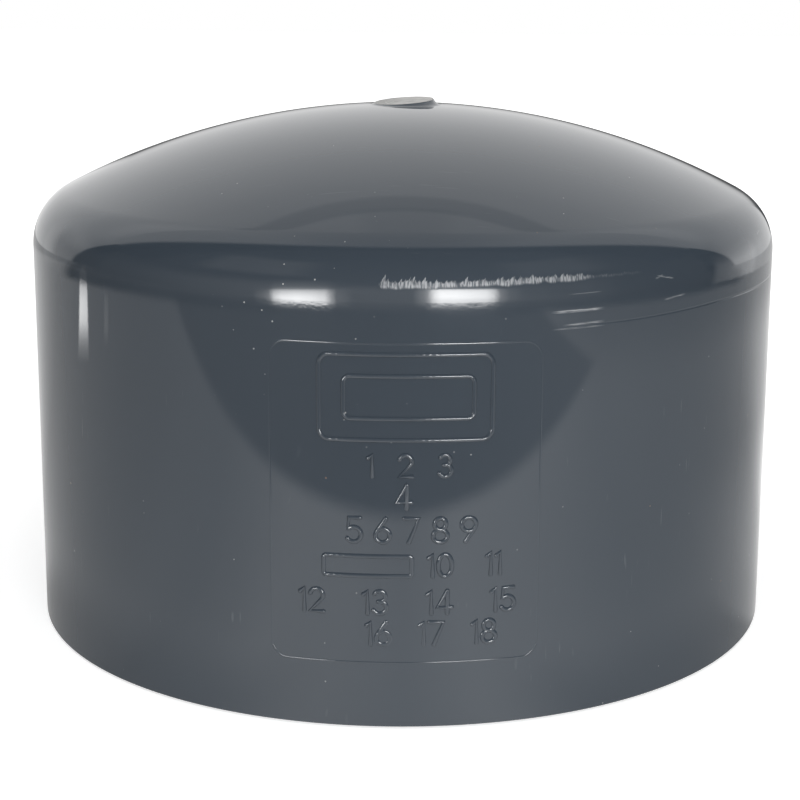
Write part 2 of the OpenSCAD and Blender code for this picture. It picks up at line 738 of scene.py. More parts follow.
@dataclass(frozen=True)
class CutFinish:
    """Matt, blade-streaked and stress-whitened face of the cut-off sprue."""

    pale: Colour = (0.66, 0.65, 0.63)
    dark: Colour = (0.38, 0.38, 0.37)
    crack: Colour = (0.70, 0.70, 0.68)
    roughness: float = 0.5
    drag_turn: float = math.radians(-8.0)

    def material(self, kit: EffectKit) -> bpy.types.Material:
        """Builds the cut face's material.

        Args:
            kit: The shared shader groups.

        Returns:
            The material.
        """
        made, w = new_material("sprue_cut")
        spot = w.object_point()
        # The blade's drags and blotches whiten the face, a little less at its low end.
        drags = w.noise(w.place(spot, (0.0, 0.0, self.drag_turn), (110.0, 1500.0, 20.0)), 1.0, 4.0)
        blotch = w.noise(spot, 420.0, 3.0)
        x, y, _ = w.split(spot)
        worn = w.plus(w.times(drags, 0.75), w.times(blotch, 0.35))
        worn = w.plus(worn, w.ease(x, -0.0065, 0.0005, -0.10, 0.04))
        crack = self._crack(w, x, y)
        base = w.blend(w.ease(worn, 0.40, 0.68), rgba(self.dark), rgba(self.pale))
        base = w.blend(w.times(crack, 0.85), base, rgba(self.crack))
        tone = w.ease(drags, 0.2, 0.8, self.roughness - 0.1, self.roughness + 0.2)
        peel = w.group(kit.peel, {"Vector": spot}).outputs["Height"]
        relief = w.plus(peel, w.times(drags, 1.2e-5), w.times(crack, -5e-5))
        plastic(w, base, tone, relief)
        return made

    @staticmethod
    def _crack(w: Wiring, x: Socket, y: Socket) -> Socket:
        """Draws the small forked crack near the low end of the cut.

        Args:
            w: The material's wiring.
            x: The point's X.
            y: The point's Y.

        Returns:
            The mask's socket.
        """
        arms = []
        for end in ((-0.0028, -0.0005), (-0.0052, 0.0002)):
            run, off = w.along((-0.0043, -0.0048), end, x, y)
            arms.append(w.times(w.window(run, 0.0, 0.0040, 0.0008), w.ease(off, 0.00004, 0.0002, 1.0, 0.0)))
        return w.math("MAXIMUM", *arms)


# ------------------------------------------------------------------------ the moulding


@dataclass(frozen=True)
class Dome:
    """The half section of a dome that runs into a drafted wall through a rounded corner."""

    wall: float
    top: float
    radius: float
    corner: float
    draft: float

    @property
    def centre(self) -> float:
        """Returns the height of the dome's centre."""
        return self.top - self.radius

    @property
    def half_angle(self) -> float:
        """Returns how far the dome reaches before its corner takes over, in degrees."""
        lean = math.radians(self.draft)
        reach = self.wall * math.cos(lean) - self.corner - self.centre * math.sin(lean)
        return math.degrees(math.asin(reach / (self.radius - self.corner)) - lean)

    @property
    def corner_centre(self) -> Point:
        """Returns the corner's centre as its distance from the axis and its height."""
        angle, away = math.radians(self.half_angle), self.radius - self.corner
        return away * math.sin(angle), self.centre + away * math.cos(angle)


@dataclass
class CapShell:
    """The one-piece moulding: skirt, shoulder, dome, sprue stub and tapered socket."""

    sector_steps: int = 20
    sectors: int = 18
    rim_radius: float = millimetres(91.7)
    draft: float = 0.4
    edge_break: float = millimetres(0.4)
    crown_height: float = millimetres(124.7)
    crown_radius: float = millimetres(183.0)
    shoulder: float = millimetres(14.5)
    wall: float = millimetres(9.0)
    chamber_radius: float = millimetres(80.0)
    chamber_corner: float = millimetres(6.0)
    entry_radius: float = millimetres(84.415)
    root_radius: float = millimetres(84.0)
    land: float = millimetres(8.0)
    depth: float = millimetres(77.5)
    lead_in: float = millimetres(1.2)
    stub_radius: float = millimetres(6.6)
    stub_flare: float = millimetres(2.6)
    cut_height: float = millimetres(125.5)
    cut_slant: float = 5.0
    cut_turn: float = 35.0
    stub_stock: float = millimetres(4.0)
    lip: float = millimetres(0.12)
    chart_height: float = millimetres(50.0)

    def wall_radius(self, height: float) -> float:
        """Returns the outer wall's radius at a height."""
        return self.rim_radius - math.tan(math.radians(self.draft)) * height

    @property
    def chart_radius(self) -> float:
        """Returns the radius that arc lengths on the wall are measured at."""
        return self.wall_radius(self.chart_height)

    def build(self) -> bpy.types.Object:
        """Builds the moulding as one closed shell.

        Returns:
            The object, its faces numbered by Region for the material slots that are added later.
        """
        bm = bmesh.new()
        inside = self._inside(bm)
        outside = self._outside(bm)
        for region, chain in ((Region.BORE, inside), (Region.SKIN, outside)):
            before = set(bm.faces)
            self._spin(bm, chain, self.sector_steps, math.tau / self.sectors, False)
            for face in set(bm.faces) - before:
                face.material_index = region.value
        sector = [*bm.verts, *bm.edges, *bm.faces]
        self._spin(bm, sector, self.sectors - 1, math.tau * (self.sectors - 1) / self.sectors, True)
        bmesh.ops.remove_doubles(bm, verts=bm.verts, dist=1e-6)
        bmesh.ops.recalc_face_normals(bm, faces=bm.faces)
        self._cut_sprue(bm)
        self._settle(bm)
        return link_mesh("cap_shell", bm)

    @staticmethod
    def _settle(bm: bmesh.types.BMesh) -> None:
        """Sorts edges and faces by their lowest vertices, because a spin leaves their order to chance.

        Args:
            bm: The finished shell.
        """
        bm.verts.index_update()
        weights = [len(bm.verts) ** place for place in range(3)]
        for parts in (bm.edges, bm.faces):
            parts.sort(key=lambda part: sum(i * w for i, w in zip(sorted(v.index for v in part.verts), weights)))

    @staticmethod
    def _spin(bm: bmesh.types.BMesh, geometry: list, steps: int, angle: float, copies: bool) -> None:
        """Spins geometry round the axis.

        Args:
            bm: The bmesh that it is in.
            geometry: What is spun.
            steps: How many steps the spin takes.
            angle: The whole turn in radians.
            copies: Whether the spin leaves copies, or sweeps faces.
        """
        bmesh.ops.spin(
            bm,
            geom=geometry,
            cent=(0.0, 0.0, 0.0),
            axis=(0.0, 0.0, 1.0),
            steps=steps,
            angle=angle,
            use_duplicate=copies,
        )

    def _inside(self, bm: bmesh.types.BMesh) -> list:
        """Draws the inside from the dome's middle down to the mouth.

        Args:
            bm: The bmesh to draw in.

        Returns:
            The chain's vertices and edges.
        """
        top, bend = self.crown_height - self.wall, self.crown_radius - self.wall
        dome = Dome(self.chamber_radius, top, bend, self.chamber_corner, 0.0)
        pen = HalfSection(bm, 0.0, top)
        pen.arc(0.0, dome.centre, dome.half_angle, steps=30)
        pen.arc(*dome.corner_centre, 90.0 - dome.half_angle, steps=14)
        socket = (
            (self.chamber_radius, self.depth),
            (self.root_radius, self.depth),
            (self.root_radius, self.depth - self.land),
            (self.entry_radius, self.lead_in + self.land),
            (self.entry_radius, self.lead_in),
            (self.entry_radius + self.lead_in, 0.0),
        )
        for radius, height in socket:
            pen.line(radius, height, CRISP_RUN)
        return [*bm.verts, *bm.edges]

    def _outside(self, bm: bmesh.types.BMesh) -> list:
        """Draws the outside from the mouth up to the middle of the sprue.

        Args:
            bm: The bmesh to draw in.

        Returns:
            The chain's vertices and edges.
        """
        drawn = {*bm.verts, *bm.edges}
        dome = Dome(self.rim_radius, self.crown_height, self.crown_radius, self.shoulder, self.draft)
        half, (shoulder_r, shoulder_z) = dome.half_angle, dome.corner_centre
        wall_top = shoulder_z + self.shoulder * math.sin(math.radians(self.draft))
        flare_z, flare_angle = self._flare(dome.centre)
        rim, stub_top = self.rim_radius - self.edge_break, self.crown_height + self.stub_stock
        pen = HalfSection(bm, self.entry_radius + self.lead_in, 0.0)
        pen.line(rim, 0.0, (0.05, 0.95, 1.0))
        pen.arc(rim, self.edge_break, -(90.0 - self.draft), steps=8)
        pen.line(self.wall_radius(wall_top), wall_top, WALL_RUN)
        pen.arc(shoulder_r, shoulder_z, -(90.0 - self.draft - half), steps=40)
        pen.arc(0.0, dome.centre, -(half - flare_angle), steps=56)
        pen.arc(self.stub_radius + self.stub_flare, flare_z, 90.0 - flare_angle, steps=14)
        pen.line(self.stub_radius, stub_top, (0.3, 1.0))
        pen.line(0.0, stub_top)
        return [item for item in (*bm.verts, *bm.edges) if item not in drawn]

    def _flare(self, centre: float) -> Point:
        """Finds where the stub's flared foot leaves the dome.

        Args:
            centre: The height of the dome's centre.

        Returns:
            The flare centre's height, and the angle from the axis in degrees.
        """
        reach = self.stub_radius + self.stub_flare
        outer = self.crown_radius + self.stub_flare
        angle = math.asin(reach / outer)
        return centre + outer * math.cos(angle), math.degrees(angle)

    def _cut_sprue(self, bm: bmesh.types.BMesh) -> None:
        """Cuts the sprue with a slanted plane, closes it and insets two narrow flat rings just inside its lip.

        Args:
            bm: The shell, already spun.
        """
        slant, turn = math.radians(self.cut_slant), math.radians(self.cut_turn)
        upright = Vector((-math.sin(slant) * math.cos(turn), -math.sin(slant) * math.sin(turn), math.cos(slant)))
        cut = bmesh.ops.bisect_plane(
            bm,
            geom=[*bm.verts, *bm.edges, *bm.faces],
            dist=1e-7,
            plane_co=(0.0, 0.0, self.cut_height),
            plane_no=upright,
            clear_outer=True,
        )
        rim = [e for e in cut["geom_cut"] if isinstance(e, bmesh.types.BMEdge)]
        face = bmesh.ops.edgeloop_fill(bm, edges=rim)["faces"][0]
        face.normal_update()
        if face.normal.z < 0.0:
            face.normal_flip()
        face.material_index = Region.CUT.value
        bmesh.ops.inset_region(bm, faces=[face], thickness=self.lip, depth=0.0)
        bmesh.ops.inset_region(bm, faces=[face], thickness=self.lip * 4, depth=0.0)


# ------------------------------------------------------------------------ raised marks


@dataclass(frozen=True)
class Arc:
    """Part of an ellipse in a numeral, in shares of the numeral's height."""

    centre: Point
    radii: Point
    start: float
    sweep: float
    steps: int = 14

    def points(self) -> list[Point]:
        """Walks along the arc.

        Returns:
            The points, both ends with them.
        """
        found = []
        for step in range(self.steps + 1):
            angle = math.radians(self.start + self.sweep * step / self.steps)
            found.append(
                (self.centre[0] + self.radii[0] * math.cos(angle), self.centre[1] + self.radii[1] * math.sin(angle))
            )
        return found


@dataclass(frozen=True)
class Stroke:
    """One run of the cutter: straight points and arcs in order."""

    parts: tuple
    closed: bool = False

    def points(self) -> list[Point]:
        """Joins the parts into one run.

        Returns:
            The points, without a second copy of the first on a closed stroke.
        """
        found: list[Point] = []
        for part in self.parts:
            found.extend(part.points() if isinstance(part, Arc) else [part])
        return found[:-1] if self.closed else found


NUMERALS: dict[str, tuple[float, tuple[Stroke, ...]]] = {
    "0": (0.60, (Stroke((Arc((0.30, 0.50), (0.30, 0.50), 90, -360, 28),), True),)),
    "1": (0.18, (Stroke(((0.0, 0.84), (0.18, 1.0), (0.18, 0.0))),)),
    "2": (0.58, (Stroke((Arc((0.29, 0.71), (0.28, 0.29), 165, -195), (0.0, 0.0), (0.58, 0.0))),)),
    "3": (
        0.56,
        (
            Stroke((Arc((0.27, 0.76), (0.24, 0.24), 150, -220), (0.22, 0.53))),
            Stroke(((0.22, 0.53), Arc((0.27, 0.27), (0.29, 0.27), 80, -235, 18))),
        ),
    ),
    "4": (0.62, (Stroke(((0.43, 1.0), (0.0, 0.27), (0.62, 0.27))), Stroke(((0.43, 1.0), (0.43, 0.0))))),
    "5": (0.58, (Stroke(((0.53, 1.0), (0.09, 1.0), (0.05, 0.55), Arc((0.28, 0.31), (0.30, 0.31), 128, -275, 20))),)),
    "6": (
        0.58,
        (Stroke((Arc((0.29, 0.29), (0.29, 0.29), 150, 360, 26),), True), Stroke(((0.42, 1.0), (0.04, 0.44)))),
    ),
    "7": (0.58, (Stroke(((0.0, 1.0), (0.58, 1.0), (0.18, 0.0))),)),
    "8": (
        0.58,
        (
            Stroke((Arc((0.29, 0.76), (0.23, 0.24), 90, 360, 24),), True),
            Stroke((Arc((0.29, 0.26), (0.29, 0.26), 90, 360, 24),), True),
        ),
    ),
    "9": (
        0.58,
        (Stroke((Arc((0.29, 0.71), (0.29, 0.29), -30, 360, 26),), True), Stroke(((0.16, 0.0), (0.54, 0.56)))),
    ),
}


@dataclass(frozen=True)
class NumberRow:
    """One row of raised counting numbers on the wall."""

    numbers: tuple[str, ...]
    left: float
    right: float
    bottom: float
    height: float


@dataclass(frozen=True)
class BareFrame:
    """A raised outline with nothing in it, by arc and height."""

    left: float
    right: float
    bottom: float
    top: float
    corner: float


@dataclass(frozen=True)
class Ridge:
    """A raised line's half width and height, its hand-cut unevenness and how far its root is sunk."""

    half: float
    relief: float
    uneven: float = 0.0
    sink: float = millimetres(0.10)


Path = tuple[list[Point], bool]

# The rings of a ball end: how far out each stands and how wide it is, in shares of the half width.
BALL_END = ((0.97, 0.26), (0.80, 0.60), (0.45, 0.89))


@dataclass
class WallMarks:
    """The raised counting numbers, the bare frames and the flash lines of the lettering insert.

    The crest is the power that narrows a ridge towards its top, and the ripple sets how quickly
    its height varies along the wall and up the wall.
    """

    shell: CapShell
    clearance: float = millimetres(0.004)
    tracking: float = 0.24
    crest: float = 1.3
    ripple: Point = (millimetres(0.21), millimetres(0.19))
    bevel_steps: int = 5
    frame_step: float = millimetres(0.4)
    foot_steps: int = 130
    lettering: Ridge = Ridge(millimetres(0.50), millimetres(0.39), 0.16)
    flash: Ridge = Ridge(millimetres(0.20), millimetres(0.032))
    foot_flash: Ridge = Ridge(millimetres(0.24), millimetres(0.10), 0.25)
    rows: tuple[NumberRow, ...] = (
        NumberRow(("1", "2", "3"), -0.0074, 0.0098, 0.0555, 0.0046),
        NumberRow(("4",), -0.0016, 0.0030, 0.0486, 0.0051),
        NumberRow(("5", "6", "7", "8", "9"), -0.0119, 0.0151, 0.0413, 0.0052),
        NumberRow(("10", "11"), 0.0052, 0.0204, 0.0338, 0.0048),
        NumberRow(("12", "13", "14", "15"), -0.0219, 0.0236, 0.0256, 0.0050),
        NumberRow(("16", "17", "18"), -0.0078, 0.0196, 0.0187, 0.0050),
    )
    name_frames: tuple[BareFrame, ...] = (
        BareFrame(-0.0177, 0.0183, 0.0632, 0.0811, 0.0022),
        BareFrame(-0.0126, 0.0144, 0.0677, 0.0766, 0.0014),
    )
    small_frames: tuple[BareFrame, ...] = (BareFrame(-0.0168, 0.0017, 0.0339, 0.0382, 0.0006),)
    insert: BareFrame = BareFrame(-0.0283, 0.0289, 0.0146, 0.0833, 0.0036)

    def build(self) -> list[bpy.types.Object]:
        """Builds every mark.

        Returns:
            The objects, wrapped round the wall.
        """
        marks = (
            ("counting_numbers", self._number_paths(), self.lettering),
            ("bare_name_frame", [self._frame_path(frame) for frame in self.name_frames], self.lettering),
            ("bare_small_frame", [self._frame_path(frame) for frame in self.small_frames], self.lettering),
            ("insert_flash_line", [self._frame_path(self.insert)], self.flash),
            ("insert_foot_flash", [self._foot_path(self.insert)], self.foot_flash),
        )
        return [self._sweep(name, paths, ridge) for name, paths, ridge in marks]

    def _foot_path(self, frame: BareFrame) -> Path:
        """Follows a frame's foot from corner to corner.

        Args:
            frame: The frame.

        Returns:
            The run's points, and that it stays open.
        """
        corner = frame.corner
        left = Arc((frame.left + corner, frame.bottom + corner), (corner, corner), 200.0, 70.0, 8).points()
        right = Arc((frame.right - corner, frame.bottom + corner), (corner, corner), 270.0, 70.0, 8).points()
        start, width = left[-1][0], right[0][0] - left[-1][0]
        between = [(start + width * step / self.foot_steps, frame.bottom) for step in range(1, self.foot_steps)]
        return left + between + right, False

    def _number_paths(self) -> list[Path]:
        """Sets the rows of numbers out over the panel.

        Returns:
            Each stroke as arc and height points, and whether it closes.
        """
        paths = []
        for row in self.rows:
            widths = [self._width(number) * row.height for number in row.numbers]
            gap = (row.right - row.left - sum(widths)) / max(len(widths) - 1, 1)
            left = row.left
            for number, width in zip(row.numbers, widths):
                paths.extend(self._numeral_paths(number, left, row))
                left += width + gap
        return paths

    def _width(self, number: str) -> float:
        """Returns a number's width in shares of its height."""
        return sum(NUMERALS[digit][0] for digit in number) + self.tracking * (len(number) - 1)

    def _numeral_paths(self, number: str, left: float, row: NumberRow) -> list[Path]:
        """Lays one number's strokes out.

        Args:
            number: The number's digits.
            left: The arc where it starts.
            row: The row that it stands in.

        Returns:
            The strokes' points and whether each closes.
        """
        paths = []
        for digit in number:
            width, strokes = NUMERALS[digit]
            for stroke in strokes:
                laid = [(left + x * row.height, row.bottom + y * row.height) for x, y in stroke.points()]
                paths.append((laid, stroke.closed))
            left += (width + self.tracking) * row.height
        return paths

    def _frame_path(self, frame: BareFrame) -> Path:
        """Follows a frame's rounded outline, which closes, in short even steps.

        Args:
            frame: The frame.

        Returns:
            The outline's points, and that it closes.
        """
        points: list[Point] = []
        corners = (
            (frame.right - frame.corner, frame.top - frame.corner, 90.0),
            (frame.right - frame.corner, frame.bottom + frame.corner, 0.0),
            (frame.left + frame.corner, frame.bottom + frame.corner, -90.0),
            (frame.left + frame.corner, frame.top - frame.corner, 180.0),
        )
        for x, y, start in corners:
            points.extend(Arc((x, y), (frame.corner, frame.corner), start, -90.0, 8).points())
        evened: list[Point] = []
        for here, there in zip(points, points[1:] + points[:1]):
            length = math.dist(here, there)
            parts = max(1, round(length / self.frame_step))
            for part in range(parts):
                share = part / parts
                evened.append((here[0] + (there[0] - here[0]) * share, here[1] + (there[1] - here[1]) * share))
        return evened, True

    def _sweep(self, name: str, paths: list[Path], ridge: Ridge) -> bpy.types.Object:
        """Sweeps a rounded cutter path along each line and wraps it round the wall.

        Args:
            name: The finished object's name.
            paths: Points by arc and height, and whether each path closes.
            ridge: The line's section.

        Returns:
            The object.
        """
        mesh = self._tubes(name, paths, ridge.half)
        bm = bmesh.new()
        bm.from_mesh(mesh)
        bpy.data.meshes.remove(mesh)
        bmesh.ops.remove_doubles(bm, verts=bm.verts, dist=2e-7)
        bmesh.ops.recalc_face_normals(bm, faces=bm.faces)
        for vert in bm.verts:
            vert.co = self._on_wall(vert.co, ridge)
        made = link_mesh(name, bm)
        # A ridge has no sharp edge anywhere.
        made.data.shade_smooth()
        return made

    def _tubes(self, name: str, paths: list[Path], half: float) -> bpy.types.Mesh:
        """Lays a round tube along every path, still flat.

        Args:
            name: The finished object's name.
            paths: Points by arc and height, and whether each path closes.
            half: The tubes' radius.

        Returns:
            The tubes' mesh.
        """
        curve = bpy.data.curves.new(name + "_path", "CURVE")
        curve.dimensions = "3D"
        curve.bevel_depth = half
        curve.bevel_resolution = self.bevel_steps
        curve.use_fill_caps = True
        for points, closed in paths:
            rounded = [(p, 1.0) for p in points] if closed else self._round_ends(points, half)
            spline = curve.splines.new("POLY")
            spline.points.add(len(rounded) - 1)
            for knot, ((x, y), share) in zip(spline.points, rounded):
                knot.co = (x, y, 0.0, 1.0)
                knot.radius = share
            spline.use_cyclic_u = closed
        holder = bpy.data.objects.new(name + "_path", curve)
        bpy.context.scene.collection.objects.link(holder)
        bpy.context.view_layer.update()
        mesh = bpy.data.meshes.new_from_object(holder.evaluated_get(bpy.context.evaluated_depsgraph_get()))
        bpy.data.objects.remove(holder)
        bpy.data.curves.remove(curve)
        return mesh

    def _round_ends(self, points: list[Point], half: float) -> list[tuple[Point, float]]:
        """Gives a path ball ends.

        Args:
            points: The path.
            half: The line's half width.

        Returns:
            The longer path's points and width shares.
        """
        start = self._beyond(points[1], points[0], half)
        end = self._beyond(points[-2], points[-1], half)
        return start + [(p, 1.0) for p in points] + end[::-1]

    @staticmethod
    def _beyond(before: Point, last: Point, half: float) -> list[tuple[Point, float]]:
        """Rounds one end of a stroke off as a ball.

        Args:
            before: The point before the last.
            last: The stroke's last point.
            half: The stroke's half width.

        Returns:
            The points with their width shares, the outermost first.
        """
        length = math.dist(before, last)
        u, v = (last[0] - before[0]) / length * half, (last[1] - before[1]) / length * half
        return [((last[0] + u * far, last[1] + v * far), share) for far, share in BALL_END]

    def _on_wall(self, flat: Vector, ridge: Ridge) -> Vector:
        """Wraps one point round the wall.

        Args:
            flat: Arc, height and offset across the stroke's own depth.
            ridge: The line's section.

        Returns:
            The point on the wall, kept inside the cap's outer box.
        """
        angle = flat.x / self.shell.chart_radius
        radius = self.shell.wall_radius(flat.y)
        reach = max(math.cos(angle), abs(math.sin(angle)))
        room = self.shell.rim_radius / reach - radius - self.clearance
        share = flat.z / ridge.half
        ripple = math.sin(flat.x / self.ripple[0]) * math.sin(1.0 + flat.y / self.ripple[1])
        hand = 1.0 - ridge.uneven * (0.5 + 0.5 * ripple)
        risen = share**self.crest * hand * min(ridge.relief, room) if share > 0.0 else share * ridge.sink
        radius += risen
        return Vector((radius * math.sin(angle), -radius * math.cos(angle), flat.y))


# ------------------------------------------------------------------------------- stage


@dataclass(frozen=True)
class Veil:
    """A curved glowing veil round the cap that only reflections see.

    The glow is the level by azimuth, times the share by height; the lean raises the height
    that the share is read at, in metres for each degree.
    """

    name: str
    radius: float
    across: tuple[Point, ...]
    upward: tuple[Point, ...]
    lean: float = 0.0


@dataclass(frozen=True)
class FloorGlow:
    """A narrow glow on the floor, by its two ends and its level along the way."""

    start: Point
    end: Point
    half: float
    levels: tuple[Point, ...]


@dataclass(frozen=True)
class Lamp:
    """A soft area lamp that lights the diffuse finish only."""

    name: str
    place: Place
    size: float
    watts: float


@dataclass(frozen=True)
class Viewpoint:
    """The camera: its place, its lens, and its turn, tilt from straight down and roll in radians."""

    place: Place = (0.0, -0.43729, 0.15708)
    lens: float = 78.735
    sensor: float = 36.0
    shift: float = -0.06584
    near: float = 0.01
    turn: float = math.radians(-1.6282)
    tilt: float = math.radians(90.0 - 13.838)
    roll: float = 0.0113

    def build(self) -> None:
        """Places the camera at the front, looking slightly down."""
        data = bpy.data.cameras.new("front_camera")
        data.lens = self.lens
        data.sensor_width = self.sensor
        data.shift_x = self.shift
        data.clip_start = self.near
        made = bpy.data.objects.new("front_camera", data)
        bpy.context.scene.collection.objects.link(made)
        turn, tilt, roll = (
            Matrix.Rotation(angle, 4, axis) for angle, axis in ((self.turn, "Z"), (self.tilt, "X"), (self.roll, "Z"))
        )
        made.matrix_world = Matrix.Translation(self.place) @ turn @ tilt @ roll
        bpy.context.scene.camera = made


@dataclass
class Studio:
    """Pale floor, backdrop, ceiling, soft lamps, camera and the glowing veils that the gloss reflects."""

    middle: Place = (0.0, 0.0, 0.09)
    viewpoint: Viewpoint = Viewpoint()
    floor_half: float = 4.0
    floor_height: float = millimetres(-0.4)
    floor_colour: Colour = (0.80, 0.80, 0.80)
    near_edge: float = -0.248
    back: float = 0.9
    ceiling: float = 2.0
    ceiling_front: float = -0.5
    sheet_half: float = 5.0
    veil_columns: int = 48
    soft_world: float = 0.265
    dark_world: float = 0.06
    white_world: float = 1.0
    veils: tuple[Veil, ...] = (
        Veil(
            "left_softbox",
            0.48,
            (
                (-40, 0), (-37, 1.2), (-35.4, 2.5), (-34, 13), (-32, 19), (-28, 21), (-24, 19), (-20.5, 15), (-19, 6),
                (-17.5, 1.0), (-13, 0),
            ),
            (
                (0.0203, 0), (0.0218, 0.1), (0.0230, 0.85), (0.026, 1), (0.05, 0.96), (0.08, 0.82), (0.11, 0.62),
                (0.13, 0.4), (0.145, 0.12), (0.17, 0.04), (0.26, 0),
            ),
            0.0022,
        ),
        Veil(
            "right_softbox",
            0.48,
            (
                (2, 0), (4.6, 2.0), (5.8, 4), (7.4, 16), (9, 22), (13, 22), (17, 20), (21, 18), (23, 12), (24.6, 2.5),
                (27, 0.6), (31, 0),
            ),
            (
                (0.0216, 0), (0.0227, 0.07), (0.0238, 0.5), (0.0250, 0.75), (0.045, 0.82), (0.07, 0.97), (0.09, 1),
                (0.115, 0.97), (0.137, 0.92), (0.158, 0.78), (0.168, 0.4), (0.175, 0.1), (0.2, 0.03), (0.26, 0),
            ),
            -0.0008,
        ),
        Veil(
            "front_glow",
            0.49,
            (
                (-130, 0.1), (-92, 0.1), (-80, 0.14), (-63, 0.32), (-54, 0.45), (-45, 0.55), (-25, 0.8), (0, 0.85),
                (20, 0.8), (30, 0.6), (40, 0.42), (50, 0.38), (60, 0.12), (75, 0.03), (130, 0.03),
            ),
            (
                (0.0165, 0), (0.0185, 0.25), (0.020, 0.6), (0.0215, 0.85), (0.024, 1), (0.03, 1), (0.15, 1),
                (0.185, 0.72), (0.215, 0.4), (0.25, 0.22), (0.34, 0.16), (0.44, 0.11), (0.8, 0.02), (1.0, 0),
            ),
        ),
        Veil(
            "left_high_panel",
            0.50,
            ((-64, 0), (-57, 0.32), (-34, 0.38), (-24, 0)),
            ((0.27, 0), (0.33, 1), (0.52, 1), (0.64, 0)),
        ),
        Veil(
            "right_high_panel",
            0.50,
            ((26, 0), (36, 0.26), (54, 0.26), (66, 0)),
            ((0.27, 0), (0.33, 1), (0.52, 1), (0.64, 0)),
        ),
        Veil(
            "right_rear_glow",
            0.60,
            (
                (97, 0), (100, 0.45), (105, 0.6), (109, 0.8), (118, 0.8), (123, 0.8), (127, 0.4), (135, 0.2),
                (150, 0),
            ),
            ((0.0, 0.8), (0.06, 0.9), (0.1, 1), (0.13, 0.7), (0.18, 0.25), (0.24, 0)),
        ),
    )
    lit: tuple[Point, ...] = (
        (-180, 0.82), (-136, 0.82), (-120, 0.66), (-94, 0.72), (-80, 0.74), (-69, 0.80), (-57, 0.92), (-46, 0.96),
        (-42, 1.08), (-37, 1.2), (-32, 1.4), (-27, 1.6), (-12, 1.6), (-5, 1.45), (0, 1.35), (5, 1.5), (12, 1.75),
        (20, 1.65), (27, 1.6), (36, 1.5), (46, 1.25), (52, 1.1), (60, 1.02), (72, 0.86), (88, 0.72), (100, 0.68),
        (112, 0.72), (126, 0.96), (180, 0.96),
    )
    unlit: tuple[Point, ...] = (
        (-180, 0.4), (-60, 0.42), (-25, 0.42), (-8, 0.34), (8, 0.36), (25, 0.42), (40, 0.5), (60, 0.6), (180, 0.6),
    )
    floor_glows: tuple[FloorGlow, ...] = (
        FloorGlow(
            (-0.580, 0.1410),
            (-0.380, 0.0735),
            0.020,
            (
                (0.0, 1.2), (0.03, 3.9), (0.065, 5.2), (0.095, 5.2), (0.12, 4.6), (0.14, 2.9), (0.165, 1.2),
                (0.185, 0.5), (0.21, 0),
            ),
        ),
        FloorGlow((-0.580, 0.0205), (-0.437, 0.0030), 0.008, ((0.0, 0), (0.03, 0.3), (0.10, 0.4), (0.144, 0))),
    )
    backdrop_levels: tuple[Point, ...] = (
        (0.0, 0.05), (0.11, 0.12), (0.14, 0.42), (0.17, 0.8), (0.22, 1.05), (0.45, 1.12), (0.75, 1.13), (0.85, 1.11),
        (1.0, 1.09), (1.1, 1.07), (1.2, 1.03), (1.35, 1.01), (1.6, 0.95), (2.0, 0.93),
    )
    lamps: tuple[Lamp, ...] = (
        Lamp("front_lamp", (0.35, -2.2, 0.9), 1.6, 30.0),
        Lamp("top_lamp", (0.1, -0.5, 2.3), 1.8, 11.0),
    )

    def build(self) -> None:
        """Builds the floor, backdrop, ceiling, veils, lamps, world and camera."""
        self._floor()
        self._backdrop()
        self._ceiling()
        for veil in self.veils:
            self._veil(veil)
        for lamp in self.lamps:
            self._lamp(lamp)
        self._world()
        self.viewpoint.build()

    @staticmethod
    def _sheet(name: str, corners: tuple[Vector, Vector, Vector], columns: int = 1) -> bpy.types.Object:
        """Makes a sheet for the stage.

        Args:
            name: The sheet's name.
            corners: Its first corner, the corner beside it and the corner above it.
            columns: How many columns of faces it has.

        Returns:
            The stage object.
        """
        bm = bmesh.new()
        bmesh.ops.create_grid(bm, x_segments=columns, y_segments=1, size=0.5)
        first, beside, above = corners
        for vert in bm.verts:
            x, y = vert.co.x + 0.5, vert.co.y + 0.5
            vert.co = first + (beside - first) * x + (above - first) * y
        made = link_mesh(name, bm)
        return made

    @staticmethod
    def _only_reflected(made: bpy.types.Object, material: bpy.types.Material) -> None:
        """Gives a stage object its material and hides it from everything but reflections.

        Args:
            made: The stage object.
            material: Its material.
        """
        made.data.materials.append(material)
        made.visible_camera = False
        made.visible_diffuse = False
        made.visible_shadow = False
        made.visible_transmission = False
        made.visible_volume_scatter = False

    @staticmethod
    def _azimuth(w: Wiring, x: Value, y: Value) -> Socket:
        """Reads the azimuth of a point in degrees; 0 is the front and it grows to the right.

        Args:
            w: The wiring of the tree.
            x: The point's X.
            y: The point's Y.

        Returns:
            The azimuth's socket.
        """
        return w.times(w.bearing(x, y), 180.0 / math.pi)

